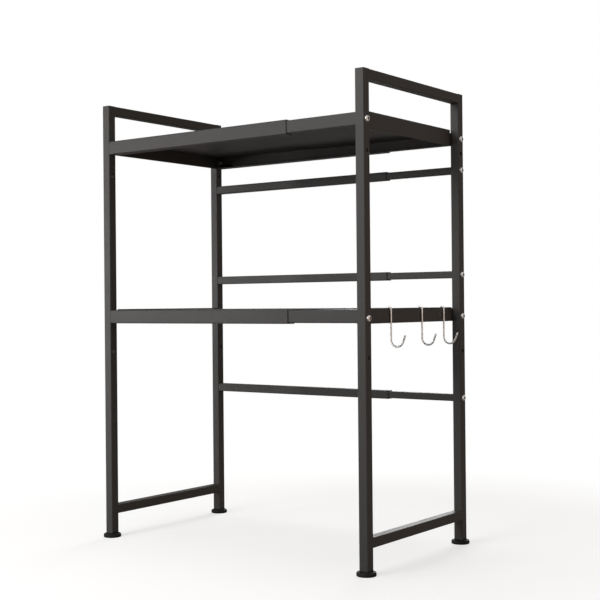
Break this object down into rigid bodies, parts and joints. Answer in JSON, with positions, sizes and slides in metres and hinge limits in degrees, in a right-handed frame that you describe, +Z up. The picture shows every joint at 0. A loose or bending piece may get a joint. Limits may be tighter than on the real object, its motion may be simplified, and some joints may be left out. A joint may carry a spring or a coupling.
{
  "type": "microwave shelf rack",
  "caption": "Free-standing kitchen rack of black square tube with folded shelves that telescope in width, rear bars, levelling feet and wire hooks.",
  "frame": {"origin": "on the floor, midway between the outer faces of the side frames and midway between the front and back faces of the posts", "axes": "+X to the right seen from the front, +Y to the back, +Z up"},
  "size_m": [0.6175, 0.346, 0.82],
  "materials": {
    "powder_coat": "satin black powder coat",
    "screw_steel": "bright zinc plate",
    "plated_steel": "dull zinc plate",
    "bright_wire": "polished bright plate",
    "foot_plastic": "matt moulded plastic",
    "insert_plastic": "matt moulded plastic"
  },
  "bodies": {
    "left_frame": {"left_front_post": "powder_coat", "left_rear_post": "powder_coat", "left_top_rail": "powder_coat", "left_bottom_rail": "powder_coat", "upper_outer_tray": "powder_coat", "middle_outer_tray": "powder_coat", "upper_outer_bar": "powder_coat", "middle_outer_bar": "powder_coat", "lower_outer_bar": "powder_coat", "left_shelf_screws": "screw_steel", "left_bar_screws": "screw_steel", "left_tray_nuts": "plated_steel", "outer_bar_plugs": "insert_plastic", "left_post_inserts": "insert_plastic"},
    "right_frame": {"right_front_post": "powder_coat", "right_rear_post": "powder_coat", "right_top_rail": "powder_coat", "right_bottom_rail": "powder_coat", "upper_inner_tray": "powder_coat", "middle_inner_tray": "powder_coat", "upper_inner_bar": "powder_coat", "middle_inner_bar": "powder_coat", "lower_inner_bar": "powder_coat", "right_shelf_screws": "screw_steel", "right_bar_screws": "screw_steel", "right_tray_nuts": "plated_steel", "inner_bar_plugs": "insert_plastic", "right_post_inserts": "insert_plastic"},
    "left_front_foot": {"left_front_foot_pad": "foot_plastic", "left_front_foot_stud": "plated_steel"},
    "left_rear_foot": {"left_rear_foot_pad": "foot_plastic", "left_rear_foot_stud": "plated_steel"},
    "right_front_foot": {"right_front_foot_pad": "foot_plastic", "right_front_foot_stud": "plated_steel"},
    "right_rear_foot": {"right_rear_foot_pad": "foot_plastic", "right_rear_foot_stud": "plated_steel"},
    "front_hook": {"front_hook": "bright_wire"},
    "middle_hook": {"middle_hook": "bright_wire"},
    "rear_hook": {"rear_hook": "bright_wire"}
  },
  "joints": [
    {"name": "width_slide", "type": "slide", "parent": "left_frame", "child": "right_frame", "axis": [1, 0, 0], "range_m": [-0.133, 0.055]},
    {"name": "left_front_foot_height", "type": "slide", "parent": "left_frame", "child": "left_front_foot", "axis": [0, 0, -1], "range_m": [0, 0.012]},
    {"name": "left_rear_foot_height", "type": "slide", "parent": "left_frame", "child": "left_rear_foot", "axis": [0, 0, -1], "range_m": [0, 0.012]},
    {"name": "right_front_foot_height", "type": "slide", "parent": "right_frame", "child": "right_front_foot", "axis": [0, 0, -1], "range_m": [0, 0.012]},
    {"name": "right_rear_foot_height", "type": "slide", "parent": "right_frame", "child": "right_rear_foot", "axis": [0, 0, -1], "range_m": [0, 0.012]},
    {"name": "front_hook_slide", "type": "slide", "parent": "right_frame", "child": "front_hook", "axis": [0, 1, 0], "range_m": [-0.07, 0.045]},
    {"name": "middle_hook_slide", "type": "slide", "parent": "right_frame", "child": "middle_hook", "axis": [0, 1, 0], "range_m": [-0.045, 0.03]},
    {"name": "rear_hook_slide", "type": "slide", "parent": "right_frame", "child": "rear_hook", "axis": [0, 1, 0], "range_m": [-0.035, 0.022]}
  ]
}
